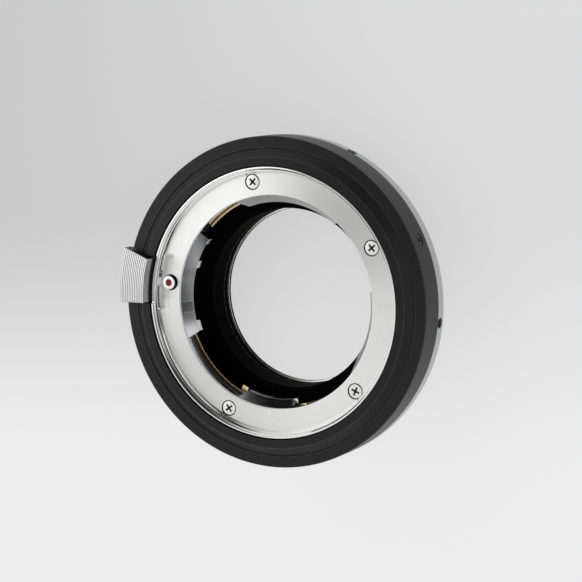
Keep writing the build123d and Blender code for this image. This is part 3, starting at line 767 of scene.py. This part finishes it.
def makeBaffle():
    low, high = nodeBox("baffle_tube")
    bore, spigot = ring["opening"] + rear["leadWide"], rear["mouth"] - baffle["play"]
    piece = lathe("light_baffle", rounded([
        (high[0], ring["rearPlateTop"], 0.03),
        (high[0], high[2], 0.05),
        (high[0] - baffle["lipWide"], high[2], 0.06),
        (bore, ring["rearPlateTop"], 0.12),
        (bore, low[2], 0.03),
        (spigot, low[2], 0.02),
        (spigot, ring["rearPlateTop"], 0.02),
    ]))
    dress(piece, finishes["matt"], "body", "baffle_tube")


# Silver lens bayonet: raised rim, flange face, four lugs and the tabs behind them

plate = {"land": 0.35, "face": 26.5, "groove": 27.05, "grooveRise": 0.15, "rootDepth": 0.5, "lip": 0.15,
         "relief": 0.25, "tip": 20.4, "lugBottom": 5.5, "tabThick": 1.0, "tabHigh": 1.5, "headRadius": 1.68,
         "shank": 0.88, "holeDeep": 3.2, "pinHole": 1.64, "padHalf": 12.5, "padInner": 24.8, "padDeep": 0.1,
         "padFade": 1.2, "notchHalf": 10.0, "notchDeep": 0.45, "notchWide": 0.55, "notchFade": 0.2}
lugs = [(58, 60, 116.8, 120.8), (148.5, 151.3, 208.4, 210),      # angles: first root, both tips, last root
        (253.6, 256.4, 285, 286.9), (326.5, 336, 375, 375)]
tabs = [(98, 101), (151.3, 155), (166.2, 170.8), (201.9, 208), (256.4, 270), (284.5, 288), (359, 362)]


def gapOutline(lug, following):                # plan of the gap between two lugs
    start = lug[3] % 360
    end = following[0] if following[0] > start else following[0] + 360
    tipStart = start + lug[2] - lug[3]
    tipEnd = end + following[1] - following[0]
    wide = ring["throat"] + plate["relief"]
    steps = 60
    outline = [onCircle(wide, start + (end - start) * k / steps) for k in range(steps + 1)]
    outline += [onCircle(ring["throat"], end), onCircle(plate["tip"], tipEnd)]
    outline += [onCircle(plate["tip"] - 1, tipEnd + (tipStart - tipEnd) * k / 12) for k in range(13)]
    return outline + [onCircle(plate["tip"], tipStart), onCircle(ring["throat"], start)]


def near(angle, half, fade):                   # 1 within half a span of the pin's side, 0 past it
    return min(1.0, max(0.0, (half - abs(angle % 360 - 180)) / fade + 0.5))


def plateSection(angle):                       # a point beside an edge keeps the flat's shading flat
    flange, top = ring["flange"], ring["rimTop"]
    middle = (flange + top) / 2
    padded = flange - plate["padDeep"] * near(angle, plate["padHalf"], plate["padFade"])
    notched = near(angle, plate["notchHalf"], plate["notchFade"])
    rim = top - plate["notchDeep"] * notched
    land = plate["land"] + (plate["notchWide"] - plate["land"]) * notched
    return rounded([
        (ring["plateRadius"], ring["plateBottom"], 0.04),
        (ring["plateRadius"], rim, 0.12),
        (ring["plateRadius"] - land, rim, 0.05),
        (ring["plateRadius"] - land - 0.05 * (1 - notched), rim + (middle - rim) * 0.45, 0.0),
        (plate["groove"] + plate["grooveRise"], middle + plate["grooveRise"], 0.06),
        (plate["groove"], middle - plate["grooveRise"], 0.08),
        (plate["groove"] - plate["grooveRise"], middle, 0.08),
        (plate["face"], padded, 0.10),
        (plate["face"] - 0.2, padded, 0.0),
        (plate["padInner"], padded, 0.02),
        (plate["padInner"] - 0.12, flange, 0.02),
        (ring["throat"] + 0.25, flange, 0.0),
        (ring["throat"], flange, 0.12),
        (ring["throat"], flange - plate["rootDepth"], 0.06),
        (plate["tip"], plate["lugBottom"] + plate["lip"], 0.04),
        (plate["tip"], plate["lugBottom"], 0.04),
        (ring["barrelBore"] - 0.1, plate["lugBottom"], 0.03),
        (ring["barrelBore"] - 0.1, ring["plateBottom"], 0.0),
    ], steps=4)


def fadeEnds():                                # where the pad and the notch of the rim start and end
    for half, fade in (("padHalf", "padFade"), ("notchHalf", "notchFade")):
        for side in (-1, 1):
            for shift in (-1, 1):
                yield 180 + side * (plate[half] + shift * plate[fade] / 2) + 0.013


def makeLensPlate():
    flange = ring["flange"]
    piece = lathe("lens_plate", plateSection, extra=fadeEnds())
    carve(piece, *[prism(gapOutline(lug, following), plate["lugBottom"] - 1, flange - plate["rootDepth"])
                   for lug, following in zip(lugs, lugs[1:] + lugs[:1])])
    inner, outerEnd = plate["tip"], plate["tip"] + plate["tabThick"]
    low, high = plate["lugBottom"] - plate["tabHigh"], plate["lugBottom"] + 0.1
    tabBox = [Vector(p) for p in ((inner, low), (outerEnd, low), (outerEnd, high), (inner, high))]
    carve(piece, *[spun(tabBox, steps=8, start=start, sweep=end - start, endEase=0.04)
                   for start, end in tabs], mode="UNION")
    places = [aroundAxis(f"bayonet_screw_{k}")[:2] for k in (1, 2, 3, 4)]
    sink = countersink(plate["shank"], plate["headRadius"], plate["holeDeep"], steps=64)
    pinHole = easedHole(plate["pinHole"], plate["holeDeep"], 0.08, steps=64)
    carve(piece, *[placed(sink, spot(radius, angle, flange)) for radius, angle in places],
          placed(pinHole, spot(ring["pinCircle"], 180, flange)))
    dress(piece, finishes["plate"], "body", "lens_bayonet")
    centres = [onCircle(*place) for place in places]
    wall = ring["throat"] + plate["relief"] + 0.03

    def onLug(r, a, z):                        # lug faces and gap walls, but not the first lug
        inside = r < ring["throat"] - 0.03 or r < wall and z < flange - 0.3
        return inside and not lugs[0][0] < a < lugs[0][3]

    def inSink(r, a, z):
        x, y = onCircle(r, a)
        return z < flange - 0.09 and any(math.hypot(x - u, y - v) < plate["headRadius"] for u, v in centres)

    paintFaces(piece, finishes["rim"], lambda r, a, z: r > plate["face"] + 0.05)
    paintFaces(piece, finishes["lug"], onLug)
    # painted shade in the countersinks round the screw heads
    paintFaces(piece, finishes["screwDark"], inSink)


# Countersunk screws with a cross recess

screw = {"headRadius": 1.45, "shank": 0.8, "length": 4.0, "rearLength": 2.6, "rim": 0.1, "dome": 0.05,
         "cross": 0.93, "armWide": 0.22, "nose": 0.08, "deep": 0.55, "draft": 0.07, "spins": (12, 38, 61, 20),
         "rearTurn": 15}


def crossOutline(reach, half, nose):           # plan of a cross recess with rounded inner corners
    outline = []
    corners = ((half + nose, -half), (reach, -half), (reach, half), (half + nose, half), (half, half + nose))
    for quarter in range(4):
        turn = Matrix.Rotation(math.radians(90 * quarter), 2)
        outline += [tuple(turn @ Vector(corner)) for corner in corners]
    return outline


def crossTool(matrix, spin, scale=1.0):        # the wings that cut the recess
    outline = crossOutline(*[screw[key] * scale for key in ("cross", "armWide", "nose")])
    wings = prism(outline, -screw["deep"] * scale, 0.3, draft=screw["draft"] * scale)
    return placed(wings, matrix @ turnedBy(spin))


def makeScrew(name, node, matrix, length, spin):
    radius, shank, rim, dome = [screw[key] for key in ("headRadius", "shank", "rim", "dome")]
    outline = [(0, -length), (shank - 0.1, -length), (shank, -length + 0.1), (shank, -rim - (radius - shank)),
               (radius, -rim), (radius, -0.05), (radius - 0.02, -0.022), (radius - 0.06, -0.006),
               (radius - 0.12, 0), (radius * 0.5, dome * 0.2), (0, dome * 0.3)]
    piece = newPiece(name, placed(post(outline, steps=64), matrix))
    carve(piece, crossTool(matrix, spin))
    dress(piece, finishes["screw"], "body", node)
    piece.data.materials.append(finishes["screwDark"])
    home = matrix.inverted()
    for face in piece.data.polygons:           # painted shade in the cross and on the edge of the head, which are darker than its top
        x, y, z = home @ (face.center / mm)
        if math.hypot(x, y) < radius * 0.9 and z < -0.03 or z < -0.06:
            face.material_index = 1


def makeScrews():
    for k, spin in enumerate(screw["spins"], start=1):
        front, behind = f"bayonet_screw_{k}", f"camera_screw_{k}"
        matrix = spot(*aroundAxis(front)[:2], nodeBox(front)[1][2])
        makeScrew(f"plate_screw_{k}", front, matrix, screw["length"], spin)
        matrix = spot(*aroundAxis(behind)[:2], nodeBox(behind)[0][2], tilt=180)
        makeScrew(f"rear_screw_{k}", behind, matrix, screw["rearLength"], spin + screw["rearTurn"])


sideScrew = {"head": 1.2, "thick": 1.0, "shank": 0.75, "length": 4.3, "sink": 0.1, "scale": 0.8, "spin": 25}
edgeScrew = {"radius": 1.0, "chamfer": 0.1, "length": 2.9, "sink": 0.45, "slot": 0.3, "deep": 0.4, "spin": 40}


def makeSideScrews():
    head, thick, shank, length = [sideScrew[key] for key in ("head", "thick", "shank", "length")]
    outline = [(0, -length), (shank, -length), (shank, -thick), (head, -thick), (head, -0.08),
               (head - 0.03, -0.03), (head - 0.09, 0), (0, 0.0)]
    for k, (radius, angle, height) in enumerate(sideScrews, start=1):
        matrix = spot(ring["bodyRadius"] - sideScrew["sink"], angle, height, tilt=90)
        piece = newPiece(f"wall_screw_{k}", placed(post(outline), matrix))
        carve(piece, crossTool(matrix, sideScrew["spin"] * k, sideScrew["scale"]))
        dress(piece, finishes["darkScrew"], "body", f"side_screw_{k}")


def makeEdgeScrews():
    size, chamfer, length = edgeScrew["radius"], edgeScrew["chamfer"], edgeScrew["length"]
    outline = [(0, -length), (size, -length), (size, -chamfer), (size - chamfer, 0), (0, 0)]
    half = edgeScrew["slot"] / 2
    slotBar = prism([(-2, -half), (2, -half), (2, half), (-2, half)], -edgeScrew["deep"], 1)
    for k, (radius, angle, height) in enumerate(edgeScrews, start=1):
        matrix = spot(rearRingBox[1][0] - edgeScrew["sink"], angle, height, tilt=90)
        piece = newPiece(f"set_screw_{k}", placed(post(outline), matrix))
        carve(piece, placed(slotBar, matrix @ turnedBy(edgeScrew["spin"] * k)))
        dress(piece, finishes["darkScrew"], "body", f"edge_screw_{k}")


# Brass leaf springs behind the lugs

leaf = {"inner": 21.7, "outer": 22.5, "ease": 0.05, "endEase": 0.08, "tongueInner": 20.3,
        "tongue": (250.5, 254.5), "shade": (291.5, 309),
        "spans": ((101.4, 145), (171.2, 201.5), (208.4, 257.6), (261, 302), (309.5, 358.5))}


def makeLeafSprings():
    ease, endEase = leaf["ease"], leaf["endEase"]
    for k, (start, end) in enumerate(leaf["spans"], start=1):
        low, high = [corner[2] for corner in nodeBox(f"leaf_spring_{k}")]
        path = rounded([(leaf["inner"], low), (leaf["outer"], low), (leaf["outer"], high),
                        (leaf["inner"], high)], ease=ease, steps=2)
        piece = lathe(f"spring_leaf_{k}", path, steps=48, start=start, sweep=end - start, endEase=endEase)
        first, last = leaf["tongue"]
        if start < first < end:                # one of them has a tongue towards the axis
            root = leaf["outer"] - 0.2
            tongue = rounded([(leaf["tongueInner"], low), (root, low + 0.02), (root, high - 0.02),
                              (leaf["tongueInner"], high)], ease=ease)
            carve(piece, spun(tongue, steps=8, start=first, sweep=last - first, endEase=endEase),
                  mode="UNION")
        dress(piece, finishes["brass"], "body", f"leaf_spring_{k}")
        # painted shade on the tongue below its top, and on the stretch of a leaf that lies in shade
        paintFaces(piece, finishes["brassDark"], lambda r, a, z: r < leaf["inner"] - 0.3 and z < high - 0.02
                   or leaf["shade"][0] < a < leaf["shade"][1])


# Release lever: ridged sloping pad on a block that stands in the cut

lever = {"half": 9.45, "inner": 28.4, "outer": 35.55, "waist": 34.0, "innerTop": 12.8, "outerTop": 10.6,
         "lip": 2.4, "undercut": 1.3, "corner": 0.35, "ridgeDepth": 0.17, "endEase": 0.14, "springTop": 8.95,
         "screwHole": 0.57, "screwDeep": 3.6, "screwRadii": (30.4, 32.7),
         "ridge": ((0.0, 0.03), (0.10, 0.0), (0.52, 0.0), (0.64, 0.03), (0.76, 1.0), (0.84, 1.0))}


def ridgeCrest():                              # ridge: shares of a ridge's run and of its depth
    fall = (lever["innerTop"] - lever["outerTop"]) / ridges["count"]
    crest = []
    for k in range(ridges["count"]):
        for share, depth in lever["ridge"]:
            out = k + share
            height = lever["innerTop"] - out * fall - depth * lever["ridgeDepth"]
            crest.append((lever["inner"] + out * ridges["run"], height, 0.0))
    return crest[1:]                           # the first point is the pad's rounded corner


def makeLever():
    foot, top = leverBox[0][2], lever["outerTop"]
    path = rounded([
        (lever["inner"], lever["innerTop"], 0.15),
        *ridgeCrest(),
        (lever["outer"] - 0.05, top - 0.05, lever["corner"]),
        (lever["outer"], top - lever["lip"], 0.2),
        (lever["waist"], top - lever["lip"] - lever["undercut"], 0.4),
        (lever["waist"], foot, 0.05),
        (lever["inner"], foot, 0.05),
    ], steps=4)
    piece = lathe("release_pad", path, steps=48, start=180 - lever["half"], sweep=2 * lever["half"],
                  endEase=lever["endEase"])
    springHole = plug(barrel["springHole"], foot - 1, lever["springTop"], steps=32)
    screwHole = plug(lever["screwHole"], foot - 1, foot + lever["screwDeep"], steps=24)
    holes = [placed(springHole, Matrix.Translation((x, y, 0))) for x, y in springPlaces()]
    holes += [placed(screwHole, Matrix.Translation((-radius, 0, 0))) for radius in lever["screwRadii"]]
    carve(piece, *holes)
    dress(piece, finishes["lever"], "release", "release_lever", crease=22)
    paintFaces(piece, finishes["leverSide"], lambda r, a, z: r < lever["inner"] + 0.03)
    # painted shade on the pad's end faces
    paintFaces(piece, finishes["screwDark"], lambda r, a, z: abs(a - 180) > lever["half"] - 0.02)


# Lock pin and its red dot

pin = {"radius": 1.42, "ease": 0.12, "dot": 0.74, "dotDeep": 0.34, "tail": 0.9, "darkPast": 0.4}


def makePin():
    foot, top, shoulder = pinBox[0][2], pinBox[1][2], armBox[1][2]
    radius, ease, hollow = pin["radius"], pin["ease"], pin["dot"]
    bend = [(radius - ease * (1 - math.cos(t)), top - ease * (1 - math.sin(t)))
            for t in [math.radians(k * 15) for k in range(7)]]
    outline = [(0, foot), (pin["tail"], foot), (pin["tail"], shoulder), (radius, shoulder)] + bend
    outline += [(hollow + 0.03, top), (hollow, top - 0.03), (hollow, top - pin["dotDeep"]),
                (0, top - pin["dotDeep"])]
    matrix = Matrix.Translation((-ring["pinCircle"], 0, 0))
    piece = newPiece("lock_pin_end", placed(post(outline, steps=72), matrix))
    dress(piece, finishes["pin"], "release", "lock_pin")
    piece.data.materials.append(finishes["pinSide"])
    for face in piece.data.polygons:           # painted shade on its side where it faces the opening
        x, y, z = face.center / mm
        if z < top - ease * 0.9 and x > -ring["pinCircle"] - pin["darkPast"]:
            face.material_index = 1


def makeDot():
    low, high = nodeBox("index_dot")
    size, foot, top = (high[0] - low[0]) / 2, low[2], high[2]
    outline = [(0, foot), (size, foot), (size, top - 0.03), (size - 0.1, top - 0.01), (size - 0.2, top),
               (0, top)]
    dot = newPiece("red_dot", placed(post(outline), Matrix.Translation((-ring["pinCircle"], 0, 0))))
    dress(dot, finishes["red"], "release", "index_dot", crease=50)


# Hidden steel pieces keep their solids and get their finish

hidden = {"lever_arm": "steel", "lever_screw_1": "screw", "lever_screw_2": "screw",
          "return_spring_1": "wire", "return_spring_2": "wire"}


def dressHidden():
    for node, finish in hidden.items():
        for place in frame["nodes"][node].material_slots:
            place.material = finishes[finish]


makeOuterRing()
makeBarrel()
print("black rings made")
makeRearRing()
makeRearPlate()
makeBaffle()
print("rear pieces made")
makeLensPlate()
print("lens plate made")
makeScrews()
makeSideScrews()
makeEdgeScrews()
makeLeafSprings()
makeLever()
makePin()
makeDot()
dressHidden()
print("small pieces made")


# Floor, world, lamp and camera, in metres

stageSet = {"floorSize": 2.4, "floorTint": (0.80, 0.80, 0.805), "cameraGlow": 0.75, "blue": 1.005,
            "farLeft": 0.60, "farRight": 0.78, "close": 0.945,
            "across": (0.89, 0.11), "acrossFrom": -0.075, "acrossTo": 0.035,
            "along": (0.17, 0.98), "alongFrom": -0.038, "alongTo": 0.020}


def makeFloor():
    side = stageSet["floorSize"] / mm
    corners = ((-side, -side, 0), (side, -side, 0), (side, side, 0), (-side, side, 0))
    floor = newPiece("floor", lambda bm: bm.faces.new([bm.verts.new(corner) for corner in corners]))
    floor.location.z = ring["tubeEnd"] * mm
    f = Finish("floorPaper")
    # the floor glows for camera and glossy rays with painted light: brightest close by, darker far off,
    # darkest far to the left
    glossy = f.put("ShaderNodeLightPath", out="Is Glossy Ray")
    seen = f.put("ShaderNodeLightPath", out="Is Camera Ray").maths("MAXIMUM", glossy)
    x, y, z = f.parts(f.put("ShaderNodeTexCoord", out="Object"))
    rightwards, forwards = stageSet["across"], stageSet["along"]
    across = (x * rightwards[0] + y * rightwards[1]).over(stageSet["acrossFrom"], stageSet["acrossTo"])
    far = across * (stageSet["farRight"] - stageSet["farLeft"]) + stageSet["farLeft"]
    along = (y * forwards[1] - x * forwards[0]).over(stageSet["alongFrom"], stageSet["alongTo"])
    level = along * (far - stageSet["close"]) + stageSet["close"]
    paper = f.put("ShaderNodeBsdfDiffuse", Color=stageSet["floorTint"])
    glow = f.put("ShaderNodeEmission", Color=f.vector(level, level, level * stageSet["blue"]), Strength=1.0)
    both = f.put("ShaderNodeMixShader", n0=seen * stageSet["cameraGlow"], n1=paper, n2=glow)
    floor.data.materials.append(f.surface(both))


sky = {"level": 0.86, "least": 0.06, "shown": (0.76, 0.76, 0.765),
       "areas": [                              # azimuth, elevation, core and reach in degrees, change
           (100, 66, 12, 32, -0.80), (72, 36, 14, 38, -0.80), (222, 14, 8, 20, -0.70),
           (320, 0, 12, 26, -0.74), (345, 2, 12, 26, -0.74), (8, 4, 8, 20, -0.74),
           (172, 42, 8, 30, 0.12), (267, 46, 6, 26, 0.15)]}


def direction(azimuth, elevation):
    a, e = math.radians(azimuth), math.radians(elevation)
    return Vector((math.cos(e) * math.cos(a), math.cos(e) * math.sin(a), math.sin(e)))


def makeWorld():
    world = bpy.data.worlds.new("studio")
    bpy.context.scene.world = world
    f = Finish("studio", world)
    x, y, z = f.parts(f.put("ShaderNodeTexCoord", out="Generated"))
    level = sky["level"]
    for azimuth, elevation, core, reach, change in sky["areas"]:
        middle = direction(azimuth, elevation)
        towards = x * middle.x + y * middle.y + z * middle.z
        level = towards.over(math.cos(math.radians(reach)), math.cos(math.radians(core))) * change + level
    level = level.maths("MAXIMUM", sky["least"])
    seen = f.put("ShaderNodeLightPath", out="Is Camera Ray")
    lit = f.put("ShaderNodeBackground", Color=f.vector(level, level, level), Strength=1.0)
    shown = f.put("ShaderNodeBackground", Color=sky["shown"], Strength=1.0)
    f.surface(f.put("ShaderNodeMixShader", n0=seen, n1=lit, n2=shown))


keyLamp = {"azimuth": 165, "elevation": 42, "distance": 0.60, "wide": 0.50, "high": 0.50, "power": 0.36,
           "aim": (0, 0, 0.004)}


def makeKeyLamp():
    lamp = bpy.data.lights.new("key", "AREA")
    lamp.shape = "RECTANGLE"
    lamp.size = keyLamp["wide"]
    lamp.size_y = keyLamp["high"]
    lamp.energy = keyLamp["power"]
    holder = bpy.data.objects.new("key", lamp)
    bpy.context.scene.collection.objects.link(holder)
    away = direction(keyLamp["azimuth"], keyLamp["elevation"])
    holder.location = Vector(keyLamp["aim"]) + away * keyLamp["distance"]
    holder.rotation_euler = away.to_track_quat("Z", "Y").to_euler()


view = {"place": (0.192536, 0.082284, 0.4059), "right": (0.88970, 0.10550, -0.4441),
        "up": (-0.17253, 0.97851, -0.1131), "lens": 136.1, "sensor": 36.0}


def makeCamera():
    camera = bpy.data.cameras.new("camera")
    camera.lens = view["lens"]
    camera.sensor_width = view["sensor"]
    camera.clip_start = 0.01
    holder = bpy.data.objects.new("camera", camera)
    bpy.context.scene.collection.objects.link(holder)
    right = Vector(view["right"]).normalized()
    up = Vector(view["up"])
    up = (up - right * up.dot(right)).normalized()
    turn = Matrix((right, up, right.cross(up))).transposed().to_4x4()
    holder.matrix_world = Matrix.Translation(view["place"]) @ turn
    bpy.context.scene.camera = holder


makeFloor()
makeWorld()
makeKeyLamp()
makeCamera()
bpy.context.scene.view_settings.view_transform = "Standard"
print("stage made")
